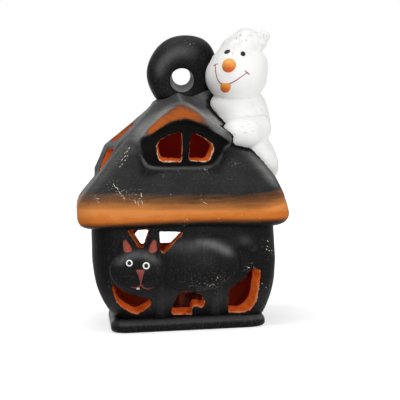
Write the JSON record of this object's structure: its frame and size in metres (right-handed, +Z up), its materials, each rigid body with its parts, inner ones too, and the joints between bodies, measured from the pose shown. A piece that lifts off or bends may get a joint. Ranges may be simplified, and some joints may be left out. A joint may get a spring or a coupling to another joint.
{
  "type": "ceramic lantern",
  "caption": "Painted clay house lantern for a tealight: pierced body with a cat in relief, lift-off hipped roof with hooded windows, carrying ring and a ghost on the slope.",
  "frame": {"origin": "centre of the foot, on the table plane", "axes": "+Z up along the lantern's height, +X to the viewer's right, the cat and the front dormer face -Y"},
  "size_m": [0.131, 0.108, 0.1866],
  "materials": {
    "black_clay": "matte charcoal paint brushed over fired terracotta",
    "white_clay": "satin white paint over fired terracotta",
    "orange_clay": "shaded orange paint over fired terracotta",
    "cup_sheet": "bright drawn sheet",
    "wax": "smooth white paraffin wax",
    "wick_cotton": "waxed cotton braid"
  },
  "bodies": {
    "house": {"base_plinth": "black_clay", "front_wall_half": "black_clay", "back_wall_half": "black_clay", "cat_head": "black_clay", "cat_left_ear": "black_clay", "cat_right_ear": "black_clay", "cat_body": "black_clay", "cat_tail": "black_clay", "cat_front_leg": "black_clay", "cat_hind_leg": "black_clay"},
    "roof": {"roof_shell": "black_clay", "front_dormer": "black_clay", "left_dormer": "black_clay", "ring_handle": "black_clay", "ghost_head": "white_clay", "ghost_hood": "white_clay", "ghost_torso": "white_clay", "ghost_arm": "white_clay", "ghost_robe": "white_clay", "ghost_nose": "orange_clay", "ghost_tongue": "orange_clay"},
    "tealight": {"tealight_cup": "cup_sheet", "tealight_wax": "wax", "wick_sustainer": "cup_sheet", "wick": "wick_cotton"}
  },
  "joints": [
    {"name": "roof_lift", "type": "slide", "parent": "house", "child": "roof", "axis": [0, 0, 1], "range_m": [0, 0.1]},
    {"name": "tealight_lift", "type": "slide", "parent": "house", "child": "tealight", "axis": [0, 0, 1], "range_m": [0, 0.066]}
  ]
}
